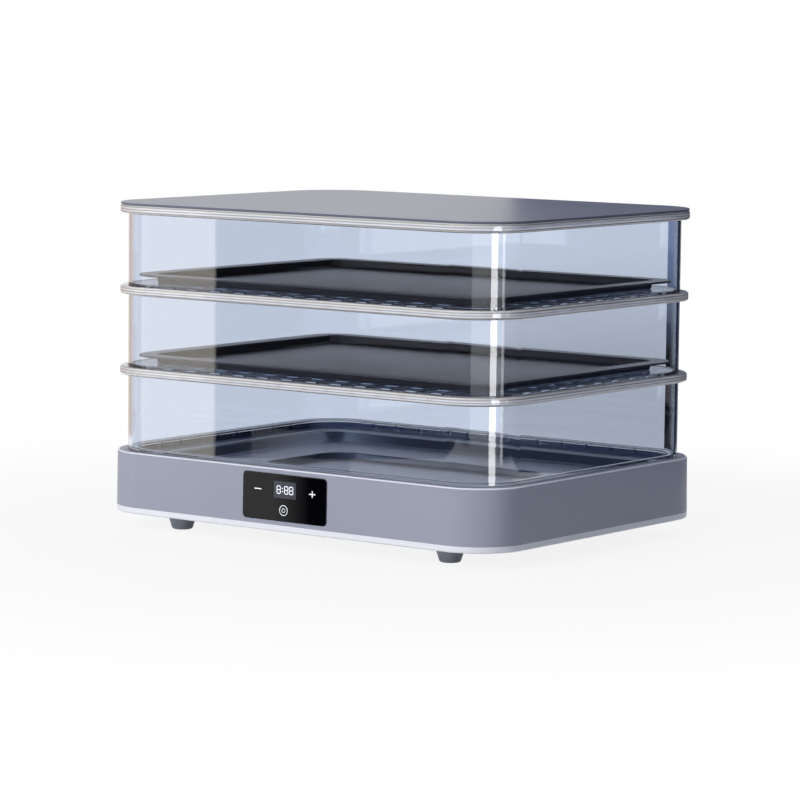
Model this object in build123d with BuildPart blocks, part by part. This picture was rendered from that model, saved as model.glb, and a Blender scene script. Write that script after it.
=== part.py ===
from build123d import *
import os

os.makedirs("parts", exist_ok=True)

# A table-top dough proofer: a heated base, three clear stacking tiers, two baking trays and a lid.
# Millimetres, +Z up. The origin is on the table, under the middle of the base, and -Y is the front.

# ---------------------------------------------------------------- driving dimensions
# Base
base_width = 460
base_depth = 356
base_radius = 50
base_height = 58
base_draft = 0.8
base_edge_chamfer = 1.6
housing_wall = 3
cover_edge_height = 5.8
cover_floor = 2.5
cover_lip_height = 4
cover_lip_wall = 1.5
cover_lip_clearance = 0.2
cover_edge_chamfer = 1
foot_height = 16
foot_top_diameter = 29
foot_bottom_diameter = 19
foot_side_inset = 73
foot_front_inset = 42
vent_width = 3
vent_length = 36
vent_pitch = 8
vent_count = 7

# Clear tiers
wall_setback = 8
wall_radius = 48
wall_thickness = 3
tier_pitch = 76.3
neck_height = 5.5
neck_inset = 7.5
neck_wall = 2.5
step_thickness = 2.5
shelf_thickness = 2.5
flange_reach = 7.8
flange_height = 8
flange_edge_chamfer = 2
socket_depth = 3.5
fit_clearance = 0.5
air_slot_pitch = 28.4
air_slot_length = 16
air_slot_width = 7

# Lid
lid_plate_thickness = 2
lid_setback = 0.3
lid_under_chamfer = 0.8
lid_frame_height = 7.5
lid_frame_wall = 2.5
lid_edge_chamfer = 0.5

# Baking trays
tray_gap = 9.5
tray_lip = 18.5
tray_seat = 3
tray_height = 8.8
tray_sheet = 1
tray_radius = 30
tray_rim_height = 2
tray_draft = 6

# Heating pan
pan_sheet = 1
pan_seal_thickness = 0.8
pan_seal_width = 8
pan_wall_inset = 25
pan_wall_slope = 42
pan_floor_depth = 10
pan_radius = 46
pan_floor_inset = 32
pan_floor_radius = 39
well_width = 260
well_depth_y = 132
well_radius = 30
well_drop = 6
well_draft = 20
ledge_inset = 17
ledge_thickness = 2.5
skirt_wall = 2.5

# Heating parts under the pan
heater_margin = 12
heater_thickness = 1
insulation_thickness = 5
sensor_spot = 162
sensor_length = 12
sensor_width = 6
sensor_height = 4
cutout_diameter = 16
cutout_height = 7
cutout_flange_length = 24
cutout_flange_thickness = 1.2
cutout_flange_width = 9

# Control panel
panel_width = 97.5
panel_height = 43
panel_radius = 4
panel_glass = 2.2
panel_drop = 5.1
panel_margin = 0.3
panel_edge_chamfer = 0.4
window_width = 84
window_height = 34
display_width = 27
display_height = 15.5
display_shift = 0.5
display_rise = 7.4
display_depth = 3.5
touch_pad_width = 7
touch_side_offset = 31.5
touch_side_rise = 6.1
touch_power_drop = 11.4
control_board_width = 94
control_board_height = 37
board_thickness = 1.6
board_drop = 1.5
pad_margin = 1.5
board_peg_inset = 4.5
peg_width = 2.4
peg_clearance = 0.2
peg_tip = 1.5

# Power supply and mains inlet
power_board_width = 100
power_board_depth = 62
power_board_x = 120
power_board_y = 88
power_post_height = 6
power_post_width = 7
power_peg_inset = 5
power_part_spread = 32
transformer_width = 24
transformer_depth = 21
transformer_height = 17
relay_width = 15
relay_depth = 19
relay_height = 15.5
capacitor_diameter = 12.5
capacitor_height = 16
terminal_width = 32
terminal_depth = 8
terminal_height = 10
terminal_mouth_width = 4
inlet_x = 100
inlet_rise = 27
inlet_flange_width = 31
inlet_flange_height = 24
inlet_flange_thickness = 1.5
inlet_body_width = 27
inlet_body_height = 19.8
inlet_body_depth = 18
inlet_wall = 1.4
inlet_cavity_depth = 15
inlet_corner = 5
pin_width = 2
pin_height = 4
pin_spread = 7
pin_offset = 2
pin_tail = 6
pin_setback = 1

# ---------------------------------------------------------------- derived places
base_bottom = foot_height
base_top = base_bottom + base_height
housing_bottom = base_bottom + cover_edge_height
housing_height = base_top - housing_bottom
cover_floor_top = base_bottom + cover_floor
wall_width = base_width - 2 * wall_setback
wall_depth = base_depth - 2 * wall_setback
neck_inner = neck_inset + neck_wall
pan_edge_inset = wall_thickness + fit_clearance
tray_inset = wall_thickness + tray_gap
tray_foot_inset = tray_inset + tray_lip
shelf_inset = tray_foot_inset + tray_seat
air_slot_inset = (neck_inner + tray_foot_inset) / 2
pan_top = base_top - neck_height - fit_clearance
ledge_top = pan_top - pan_sheet - pan_seal_thickness
ledge_bottom = ledge_top - ledge_thickness
pan_floor_top = pan_top - pan_floor_depth
well_floor_top = pan_floor_top - well_drop
lid_bottom = base_top + 3 * tier_pitch + socket_depth
panel_z = base_top - panel_drop - panel_height / 2
panel_back = base_depth / 2 - panel_glass
board_front = panel_back - display_depth
inlet_z = base_bottom + inlet_rise
foot_x = base_width / 2 - foot_side_inset
foot_y = base_depth / 2 - foot_front_inset


# ---------------------------------------------------------------- shared outlines
def base_outline(inset, mode=Mode.ADD):
    """Plan of the base, drawn in by an inset all round."""
    RectangleRounded(base_width - 2 * inset, base_depth - 2 * inset, base_radius - inset, mode=mode)


def wall_outline(inset, mode=Mode.ADD):
    """Plan of the clear walls, measured inwards from their outer face. A negative inset lies outside."""
    RectangleRounded(wall_width - 2 * inset, wall_depth - 2 * inset, wall_radius - inset, mode=mode)


def tray_outline(inset, mode=Mode.ADD):
    """Plan of a tray, measured inwards from the outer edge of its rim."""
    RectangleRounded(
        wall_width - 2 * (tray_inset + inset),
        wall_depth - 2 * (tray_inset + inset),
        tray_radius - inset,
        mode=mode,
    )


# ---------------------------------------------------------------- base housing
# One moulding: a slightly drafted outer wall, a flat top, and inside the opening a skirt with a ledge
# for the heating pan. The pad behind the panel carries the control board on four pegs.
board_z = panel_z - board_drop
peg_x = control_board_width / 2 - board_peg_inset
peg_z = control_board_height / 2 - board_peg_inset
board_peg_spots = [(side * peg_x, board_z + rise * peg_z) for side in (-1, 1) for rise in (-1, 1)]

with BuildPart() as base_housing:
    with BuildSketch(Plane.XY.offset(housing_bottom)):
        base_outline(0)
    extrude(amount=housing_height, taper=base_draft)
    chamfer(base_housing.faces().sort_by(Axis.Z)[-1].edges(), length=base_edge_chamfer)
    with BuildSketch(Plane.XY.offset(housing_bottom)):
        base_outline(housing_wall)
    extrude(amount=housing_height - housing_wall, taper=base_draft, mode=Mode.SUBTRACT)
    with BuildSketch(Plane.XY.offset(ledge_bottom)):
        wall_outline(wall_thickness - skirt_wall)
    extrude(amount=base_top - housing_wall - ledge_bottom)
    with BuildSketch(Plane.XY.offset(ledge_top)):
        wall_outline(wall_thickness)
    extrude(amount=base_top - ledge_top, mode=Mode.SUBTRACT)
    with BuildSketch(Plane.XY.offset(ledge_bottom)):
        wall_outline(ledge_inset)
    extrude(amount=ledge_thickness, mode=Mode.SUBTRACT)
    with BuildSketch(Plane.XZ.offset(board_front)):
        with Locations((0, board_z)):
            Rectangle(panel_width + 2 * pad_margin, control_board_height + 2 * pad_margin)
    extrude(amount=base_depth / 2 - housing_wall - board_front)
    with BuildSketch(Plane.XZ.offset(base_depth / 2 + 1)):
        with Locations((0, panel_z)):
            RectangleRounded(
                panel_width + 2 * panel_margin,
                panel_height + 2 * panel_margin,
                panel_radius + panel_margin,
            )
    extrude(amount=-(panel_glass + 1), mode=Mode.SUBTRACT)
    with BuildSketch(Plane.XZ.offset(panel_back)):
        with Locations((0, board_z)):
            Rectangle(window_width, window_height)
    extrude(amount=-display_depth, mode=Mode.SUBTRACT)
    with BuildSketch(Plane.XZ.offset(board_front)):
        with Locations(board_peg_spots):
            Rectangle(peg_width, peg_width)
    extrude(amount=-(board_thickness + peg_tip))
    with BuildSketch(Plane.XZ.offset(-base_depth / 2 - 1)):
        with Locations((inlet_x, inlet_z)):
            Rectangle(inlet_body_width, inlet_body_height)
    extrude(amount=housing_wall + 2, mode=Mode.SUBTRACT)
base_housing.part.label = "base_housing"
export_step(base_housing.part, "parts/base_housing.step")


# ---------------------------------------------------------------- bottom cover
# A shallow tray that closes the base from below. Its edge shows as the light band under the housing,
# and its lip stands inside the housing wall.
power_peg_x = power_board_width / 2 - power_peg_inset
power_peg_y = power_board_depth / 2 - power_peg_inset
power_peg_spots = [
    (power_board_x + side * power_peg_x, power_board_y + front * power_peg_y)
    for side in (-1, 1)
    for front in (-1, 1)
]

with BuildPart() as bottom_cover:
    with BuildSketch(Plane.XY.offset(base_bottom)):
        base_outline(0)
    extrude(amount=cover_edge_height)
    chamfer(bottom_cover.faces().sort_by(Axis.Z)[0].edges(), length=cover_edge_chamfer)
    with BuildSketch(Plane.XY.offset(housing_bottom)):
        base_outline(housing_wall + cover_lip_clearance)
    extrude(amount=cover_lip_height)
    with BuildSketch(Plane.XY.offset(cover_floor_top)):
        base_outline(housing_wall + cover_lip_clearance + cover_lip_wall)
    extrude(amount=housing_bottom + cover_lip_height - cover_floor_top, mode=Mode.SUBTRACT)
    with BuildSketch(Plane.XY.offset(cover_floor_top)):
        with Locations(power_peg_spots):
            Rectangle(power_post_width, power_post_width)
    extrude(amount=power_post_height)
    with BuildSketch(Plane.XY.offset(cover_floor_top + power_post_height)):
        with Locations(power_peg_spots):
            Rectangle(peg_width, peg_width)
    extrude(amount=board_thickness + peg_tip)
    with BuildSketch(Plane.XY.offset(base_bottom)):
        with Locations((power_board_x, power_board_y)):
            with GridLocations(vent_pitch, 1, vent_count, 1):
                Rectangle(vent_width, vent_length)
    extrude(amount=cover_floor, mode=Mode.SUBTRACT)
bottom_cover.part.label = "bottom_cover"
export_step(bottom_cover.part, "parts/bottom_cover.step")


# ---------------------------------------------------------------- feet
# Tapered rubber feet bonded under the cover.
for row, front in (("front", -1), ("rear", 1)):
    for column, side in (("left", -1), ("right", 1)):
        with BuildPart() as foot:
            with Locations((side * foot_x, front * foot_y, foot_height / 2)):
                Cone(foot_bottom_diameter / 2, foot_top_diameter / 2, foot_height)
        foot.part.label = f"foot_{row}_{column}"
        export_step(foot.part, f"parts/foot_{row}_{column}.step")


# ---------------------------------------------------------------- heating pan
# Four thin pieces bonded together: a rim with its sloping wall, a flat floor under the rim, the wall
# of a shallow water well set into the floor, and the flat bottom of the well.
with BuildPart() as pan_rim:
    with BuildSketch(Plane.XY.offset(pan_top - pan_sheet)):
        wall_outline(pan_edge_inset)
    extrude(amount=pan_sheet)
    with BuildSketch(Plane.XY.offset(pan_top - pan_sheet)):
        RectangleRounded(wall_width - 2 * pan_wall_inset, wall_depth - 2 * pan_wall_inset, pan_radius)
    extrude(amount=pan_sheet - pan_floor_depth, taper=pan_wall_slope)
    with BuildSketch(Plane.XY.offset(pan_top)):
        RectangleRounded(wall_width - 2 * pan_wall_inset, wall_depth - 2 * pan_wall_inset, pan_radius)
    extrude(amount=-pan_floor_depth, taper=pan_wall_slope, mode=Mode.SUBTRACT)
pan_rim.part.label = "pan_rim"
export_step(pan_rim.part, "parts/pan_rim.step")

with BuildPart() as pan_floor:
    with BuildSketch(Plane.XY.offset(pan_floor_top - pan_sheet)):
        RectangleRounded(
            wall_width - 2 * pan_floor_inset,
            wall_depth - 2 * pan_floor_inset,
            pan_floor_radius,
        )
        RectangleRounded(well_width, well_depth_y, well_radius, mode=Mode.SUBTRACT)
    extrude(amount=pan_sheet)
pan_floor.part.label = "pan_floor"
export_step(pan_floor.part, "parts/pan_floor.step")

with BuildPart() as well_rim:
    with BuildSketch(Plane.XY.offset(pan_floor_top - pan_sheet)):
        RectangleRounded(well_width, well_depth_y, well_radius)
    extrude(amount=pan_sheet)
    with BuildSketch(Plane.XY.offset(pan_floor_top - pan_sheet)):
        RectangleRounded(well_width, well_depth_y, well_radius)
    extrude(amount=pan_sheet - well_drop, taper=well_draft)
    with BuildSketch(Plane.XY.offset(pan_floor_top)):
        RectangleRounded(well_width - 2 * pan_sheet, well_depth_y - 2 * pan_sheet, well_radius - pan_sheet)
    extrude(amount=-well_drop, taper=well_draft, mode=Mode.SUBTRACT)
well_rim.part.label = "well_rim"
export_step(well_rim.part, "parts/well_rim.step")

with BuildPart() as well_floor:
    with BuildSketch(Plane.XY.offset(well_floor_top - pan_sheet)):
        RectangleRounded(well_width - 2 * pan_sheet, well_depth_y - 2 * pan_sheet, well_radius - pan_sheet)
    extrude(amount=pan_sheet)
well_floor.part.label = "well_floor"
export_step(well_floor.part, "parts/well_floor.step")

with BuildPart() as pan_seal:
    with BuildSketch(Plane.XY.offset(ledge_top)):
        wall_outline(pan_edge_inset)
        wall_outline(pan_edge_inset + pan_seal_width, mode=Mode.SUBTRACT)
    extrude(amount=pan_seal_thickness)
pan_seal.part.label = "pan_seal"
export_step(pan_seal.part, "parts/pan_seal.step")


# ---------------------------------------------------------------- heating parts under the pan
heater_top = well_floor_top - pan_sheet
with BuildPart() as heating_element:
    with BuildSketch(Plane.XY.offset(heater_top)):
        Rectangle(well_width - 2 * heater_margin, well_depth_y - 2 * heater_margin)
    extrude(amount=-heater_thickness)
heating_element.part.label = "heating_element"
export_step(heating_element.part, "parts/heating_element.step")

with BuildPart() as insulation_pad:
    with BuildSketch(Plane.XY.offset(heater_top - heater_thickness)):
        Rectangle(well_width - 2 * heater_margin, well_depth_y - 2 * heater_margin)
    extrude(amount=-insulation_thickness)
insulation_pad.part.label = "insulation_pad"
export_step(insulation_pad.part, "parts/insulation_pad.step")

with BuildPart() as temperature_sensor:
    with BuildSketch(Plane.XY.offset(pan_floor_top - pan_sheet)):
        with Locations((sensor_spot, 0)):
            Rectangle(sensor_length, sensor_width)
    extrude(amount=-sensor_height)
temperature_sensor.part.label = "temperature_sensor"
export_step(temperature_sensor.part, "parts/temperature_sensor.step")

with BuildPart() as thermal_cutout:
    with BuildSketch(Plane.XY.offset(pan_floor_top - pan_sheet)):
        with Locations((-sensor_spot, 0)):
            Rectangle(cutout_flange_length, cutout_flange_width)
    extrude(amount=-cutout_flange_thickness)
    with BuildSketch(Plane.XY.offset(pan_floor_top - pan_sheet)):
        with Locations((-sensor_spot, 0)):
            Circle(cutout_diameter / 2)
    extrude(amount=-cutout_height)
thermal_cutout.part.label = "thermal_cutout"
export_step(thermal_cutout.part, "parts/thermal_cutout.step")


# ---------------------------------------------------------------- control panel
# Black glass with three touch points and a display behind it, set into the front of the housing.
with BuildPart() as control_panel:
    with BuildSketch(Plane.XZ.offset(panel_back)):
        with Locations((0, panel_z)):
            RectangleRounded(panel_width, panel_height, panel_radius)
    extrude(amount=panel_glass)
    chamfer(control_panel.faces().sort_by(Axis.Y)[0].edges(), length=panel_edge_chamfer)
control_panel.part.label = "control_panel"
export_step(control_panel.part, "parts/control_panel.step")

with BuildPart() as display_module:
    with BuildSketch(Plane.XZ.offset(panel_back)):
        with Locations((display_shift, panel_z + display_rise)):
            Rectangle(display_width, display_height)
    extrude(amount=-display_depth)
display_module.part.label = "display_module"
export_step(display_module.part, "parts/display_module.step")

with BuildPart() as touch_pads:
    with BuildSketch(Plane.XZ.offset(panel_back)):
        with Locations(
            (-touch_side_offset, panel_z + touch_side_rise),
            (touch_side_offset, panel_z + touch_side_rise),
            (0, panel_z - touch_power_drop),
        ):
            Rectangle(touch_pad_width, touch_pad_width)
    extrude(amount=-display_depth)
touch_pads.part.label = "touch_pads"
export_step(touch_pads.part, "parts/touch_pads.step")

with BuildPart() as control_board:
    with BuildSketch(Plane.XZ.offset(board_front)):
        with Locations((0, board_z)):
            Rectangle(control_board_width, control_board_height)
        with Locations(board_peg_spots):
            Rectangle(peg_width + 2 * peg_clearance, peg_width + 2 * peg_clearance, mode=Mode.SUBTRACT)
    extrude(amount=-board_thickness)
control_board.part.label = "control_board"
export_step(control_board.part, "parts/control_board.step")


# ---------------------------------------------------------------- power supply
power_board_bottom = cover_floor_top + power_post_height
power_board_top = power_board_bottom + board_thickness

with BuildPart() as power_board:
    with BuildSketch(Plane.XY.offset(power_board_bottom)):
        with Locations((power_board_x, power_board_y)):
            Rectangle(power_board_width, power_board_depth)
        with Locations(power_peg_spots):
            Rectangle(peg_width + 2 * peg_clearance, peg_width + 2 * peg_clearance, mode=Mode.SUBTRACT)
    extrude(amount=board_thickness)
power_board.part.label = "power_board"
export_step(power_board.part, "parts/power_board.step")

with BuildPart() as power_transformer:
    with BuildSketch(Plane.XY.offset(power_board_top)):
        with Locations((power_board_x - power_part_spread, power_board_y)):
            Rectangle(transformer_width, transformer_depth)
    extrude(amount=transformer_height)
power_transformer.part.label = "power_transformer"
export_step(power_transformer.part, "parts/power_transformer.step")

with BuildPart() as heater_relay:
    with BuildSketch(Plane.XY.offset(power_board_top)):
        with Locations((power_board_x, power_board_y)):
            Rectangle(relay_width, relay_depth)
    extrude(amount=relay_height)
heater_relay.part.label = "heater_relay"
export_step(heater_relay.part, "parts/heater_relay.step")

with BuildPart() as smoothing_capacitor:
    with BuildSketch(Plane.XY.offset(power_board_top)):
        with Locations((power_board_x + power_part_spread, power_board_y)):
            Circle(capacitor_diameter / 2)
    extrude(amount=capacitor_height)
smoothing_capacitor.part.label = "smoothing_capacitor"
export_step(smoothing_capacitor.part, "parts/smoothing_capacitor.step")

with BuildPart() as terminal_block:
    with BuildSketch(Plane.XY.offset(power_board_top)):
        with Locations((power_board_x, power_board_y - power_board_depth / 2 + terminal_depth / 2)):
            Rectangle(terminal_width, terminal_depth)
    extrude(amount=terminal_height)
    with BuildSketch(Plane.XY.offset(power_board_top + terminal_height)):
        with Locations((power_board_x, power_board_y - power_board_depth / 2 + terminal_depth / 2)):
            with GridLocations(terminal_width / 4, 1, 4, 1):
                Rectangle(terminal_mouth_width, terminal_mouth_width)
    extrude(amount=-terminal_height / 2, mode=Mode.SUBTRACT)
terminal_block.part.label = "terminal_block"
export_step(terminal_block.part, "parts/terminal_block.step")


# ---------------------------------------------------------------- mains inlet
# An earthed appliance inlet in the rear wall: moulded shell with a chamfered socket and three pins.
rear = -base_depth / 2
pin_spots = [
    (inlet_x - pin_spread, inlet_z - pin_offset),
    (inlet_x + pin_spread, inlet_z - pin_offset),
    (inlet_x, inlet_z + pin_offset),
]
with BuildPart() as mains_inlet:
    with BuildSketch(Plane.XZ.offset(rear)):
        with Locations((inlet_x, inlet_z)):
            RectangleRounded(inlet_flange_width, inlet_flange_height, inlet_wall)
    extrude(amount=-inlet_flange_thickness)
    with BuildSketch(Plane.XZ.offset(rear)):
        with Locations((inlet_x, inlet_z)):
            Rectangle(inlet_body_width, inlet_body_height)
    extrude(amount=inlet_body_depth)
    with BuildSketch(Plane.XZ.offset(rear - inlet_flange_thickness)) as socket_outline:
        with Locations((inlet_x, inlet_z)):
            Rectangle(inlet_body_width - 2 * inlet_wall, inlet_body_height - 2 * inlet_wall)
        chamfer(socket_outline.vertices().group_by(Axis.Y)[-1], length=inlet_corner)
    extrude(amount=inlet_cavity_depth, mode=Mode.SUBTRACT)
    with BuildSketch(Plane.XZ.offset(rear)):
        with Locations(pin_spots):
            Rectangle(pin_width, pin_height)
    extrude(amount=inlet_body_depth, mode=Mode.SUBTRACT)
mains_inlet.part.label = "mains_inlet"
export_step(mains_inlet.part, "parts/mains_inlet.step")

with BuildPart() as inlet_pins:
    with BuildSketch(Plane.XZ.offset(rear + inlet_body_depth + pin_tail)):
        with Locations(pin_spots):
            Rectangle(pin_width, pin_height)
    extrude(amount=-(inlet_body_depth + pin_tail - pin_setback))
inlet_pins.part.label = "inlet_pins"
export_step(inlet_pins.part, "parts/inlet_pins.step")


# ---------------------------------------------------------------- clear tiers
# Each tier is one clear moulding. From the bottom: a neck that drops into whatever is below, a step
# that takes the weight, a slotted shelf for a tray, the tall wall, and a bevelled flange whose inside
# is the socket for the next tier. The lowest tier is open over the heating pan and has no shelf.
long_side = wall_width - 2 * wall_radius
short_side = wall_depth - 2 * wall_radius
long_slots = int(long_side / air_slot_pitch)
short_slots = int(short_side / air_slot_pitch)


def clear_tier(seat_z, has_shelf):
    """One clear tier whose step stands at a height, with or without the shelf for a tray."""
    tier_bottom = seat_z - neck_height
    step_top = seat_z + step_thickness
    flange_top = seat_z + tier_pitch + socket_depth
    with BuildPart() as tier:
        with BuildSketch(Plane.XY.offset(flange_top - flange_height)):
            wall_outline(-flange_reach)
        extrude(amount=flange_height)
        chamfer(tier.faces().sort_by(Axis.Z)[-1].edges(), length=flange_edge_chamfer)
        chamfer(tier.faces().sort_by(Axis.Z)[0].edges(), length=flange_edge_chamfer)
        with BuildSketch(Plane.XY.offset(seat_z)):
            wall_outline(0)
        extrude(amount=tier_pitch)
        with BuildSketch(Plane.XY.offset(seat_z + tier_pitch)):
            wall_outline(-fit_clearance)
        extrude(amount=socket_depth, mode=Mode.SUBTRACT)
        with BuildSketch(Plane.XY.offset(step_top)):
            wall_outline(wall_thickness)
        extrude(amount=tier_pitch - step_thickness, mode=Mode.SUBTRACT)
        with BuildSketch(Plane.XY.offset(tier_bottom)):
            wall_outline(neck_inset)
        extrude(amount=neck_height)
        with BuildSketch(Plane.XY.offset(tier_bottom)):
            wall_outline(neck_inner)
        extrude(amount=neck_height + step_thickness, mode=Mode.SUBTRACT)
        if has_shelf:
            with BuildSketch(Plane.XY.offset(step_top)):
                wall_outline(wall_thickness)
                wall_outline(shelf_inset, mode=Mode.SUBTRACT)
                with GridLocations(air_slot_pitch, wall_depth - 2 * air_slot_inset, long_slots, 2):
                    Rectangle(air_slot_length, air_slot_width, mode=Mode.SUBTRACT)
                with GridLocations(wall_width - 2 * air_slot_inset, air_slot_pitch, 2, short_slots):
                    Rectangle(air_slot_width, air_slot_length, mode=Mode.SUBTRACT)
            extrude(amount=shelf_thickness)
    return tier


lower_tier = clear_tier(base_top, False)
lower_tier.part.label = "lower_tier"
export_step(lower_tier.part, "parts/lower_tier.step")

middle_tier = clear_tier(base_top + tier_pitch, True)
middle_tier.part.label = "middle_tier"
export_step(middle_tier.part, "parts/middle_tier.step")

upper_tier = clear_tier(base_top + 2 * tier_pitch, True)
upper_tier.part.label = "upper_tier"
export_step(upper_tier.part, "parts/upper_tier.step")


# ---------------------------------------------------------------- baking trays
def baking_tray(floor_z):
    """A pressed sheet tray: drafted wall and a flat rim folded back under itself."""
    rim_top = floor_z + tray_height
    with BuildPart() as tray:
        with BuildSketch(Plane.XY.offset(floor_z)):
            tray_outline(tray_lip)
        extrude(amount=tray_height, taper=-tray_draft)
        with BuildSketch(Plane.XY.offset(rim_top - tray_rim_height)):
            tray_outline(0)
        extrude(amount=tray_rim_height)
        with BuildSketch(Plane.XY.offset(floor_z + tray_sheet)):
            tray_outline(tray_lip + tray_sheet)
        extrude(amount=tray_height, taper=-tray_draft, mode=Mode.SUBTRACT)
    return tray


lower_tray = baking_tray(base_top + tier_pitch + step_thickness + shelf_thickness)
lower_tray.part.label = "lower_tray"
export_step(lower_tray.part, "parts/lower_tray.step")

upper_tray = baking_tray(base_top + 2 * tier_pitch + step_thickness + shelf_thickness)
upper_tray.part.label = "upper_tray"
export_step(upper_tray.part, "parts/upper_tray.step")


# ---------------------------------------------------------------- lid
# A thin flat plate as wide as the flange, with a clear frame under it that drops inside the wall.
with BuildPart() as lid_plate:
    with BuildSketch(Plane.XY.offset(lid_bottom)):
        wall_outline(lid_setback - flange_reach)
    extrude(amount=lid_plate_thickness)
    chamfer(lid_plate.faces().sort_by(Axis.Z)[0].edges(), length=lid_under_chamfer)
    chamfer(lid_plate.faces().sort_by(Axis.Z)[-1].edges(), length=lid_edge_chamfer)
lid_plate.part.label = "lid_plate"
export_step(lid_plate.part, "parts/lid_plate.step")

with BuildPart() as lid_frame:
    with BuildSketch(Plane.XY.offset(lid_bottom - lid_frame_height)):
        wall_outline(wall_thickness + fit_clearance)
        wall_outline(wall_thickness + fit_clearance + lid_frame_wall, mode=Mode.SUBTRACT)
    extrude(amount=lid_frame_height)
lid_frame.part.label = "lid_frame"
export_step(lid_frame.part, "parts/lid_frame.step")
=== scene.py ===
import math

import bpy
from mathutils import Matrix, Vector


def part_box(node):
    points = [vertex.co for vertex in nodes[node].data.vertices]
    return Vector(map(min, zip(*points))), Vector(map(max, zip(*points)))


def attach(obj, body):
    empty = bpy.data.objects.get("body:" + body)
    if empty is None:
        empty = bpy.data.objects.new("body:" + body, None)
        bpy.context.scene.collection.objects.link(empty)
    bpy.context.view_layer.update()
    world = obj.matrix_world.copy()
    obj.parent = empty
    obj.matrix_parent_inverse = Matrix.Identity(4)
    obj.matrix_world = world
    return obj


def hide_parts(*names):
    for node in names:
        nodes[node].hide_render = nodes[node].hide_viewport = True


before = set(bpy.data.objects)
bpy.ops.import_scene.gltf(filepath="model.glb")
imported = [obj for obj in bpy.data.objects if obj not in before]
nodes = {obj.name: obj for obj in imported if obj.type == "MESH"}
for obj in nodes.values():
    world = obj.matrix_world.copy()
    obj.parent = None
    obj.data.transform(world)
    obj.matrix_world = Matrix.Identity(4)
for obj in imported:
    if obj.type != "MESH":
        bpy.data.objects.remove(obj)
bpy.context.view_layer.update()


# ---------------------------------------------------------------- camera
# Three quarter view from the front right, a little above the lid, with a long lens. Light paths are
# kept long enough to pass through six clear walls.
camera_data = bpy.data.cameras.new("camera")
camera_data.lens = 163.2
camera_data.sensor_width = 36
camera_data.clip_end = 200
camera = bpy.data.objects.new("camera", camera_data)
bpy.context.scene.collection.objects.link(camera)
camera.matrix_world = (
    Matrix.Translation((2.0476, -2.7353, 0.4963))
    @ Matrix.Rotation(math.radians(36.859), 4, "Z")
    @ Matrix.Rotation(math.radians(83.766), 4, "X")
    @ Matrix.Rotation(math.radians(0.638), 4, "Z")
)
bpy.context.scene.camera = camera
bpy.context.scene.view_settings.view_transform = "Standard"
bpy.context.scene.cycles.max_bounces = 28
bpy.context.scene.cycles.transmission_bounces = 28
bpy.context.scene.cycles.transparent_max_bounces = 28
bpy.context.scene.cycles.caustics_reflective = False
bpy.context.scene.cycles.caustics_refractive = False


# ---------------------------------------------------------------- base housing
# The heated base's upper shell, injection moulded in grey ABS with a fine satin texture from the mould.
# It stands over the bottom cover's rim, and a painted highlight, a pale band along the small bevel at its
# top edge, stands in for the light that the bevel catches.
def linear(code):
    """The scene colour of an sRGB hex code."""
    parts = [int(code[i : i + 2], 16) / 255 for i in (1, 3, 5)]
    return tuple(p / 12.92 if p <= 0.04045 else ((p + 0.055) / 1.055) ** 2.4 for p in parts) + (1.0,)


def add(material, kind, links=None, **settings):
    """Adds a node: settings are its properties or sockets, links join a socket to another node's output.

    A socket goes by its name, or by its number where several share a name.
    """
    node = material.node_tree.nodes.new(kind)
    for name, value in settings.items():
        if hasattr(node, name):
            setattr(node, name, value)
        elif name[-1].isdigit():
            node.inputs[int(name.split("_")[-1])].default_value = value
        else:
            node.inputs[name.replace("_", " ")].default_value = value
    for name, source in (links or {}).items():
        socket = node.inputs[int(name)] if name.isdigit() else node.inputs[name]
        material.node_tree.links.new(source, socket)
    return node


def new_material(name):
    """An empty node material."""
    material = bpy.data.materials.new(name)
    material.use_nodes = True
    material.node_tree.nodes.clear()
    return material


def dress(names, material):
    """Gives CAD nodes a material."""
    for name in names:
        mesh = nodes[name].data
        mesh.materials.clear()
        mesh.materials.append(material)


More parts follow.
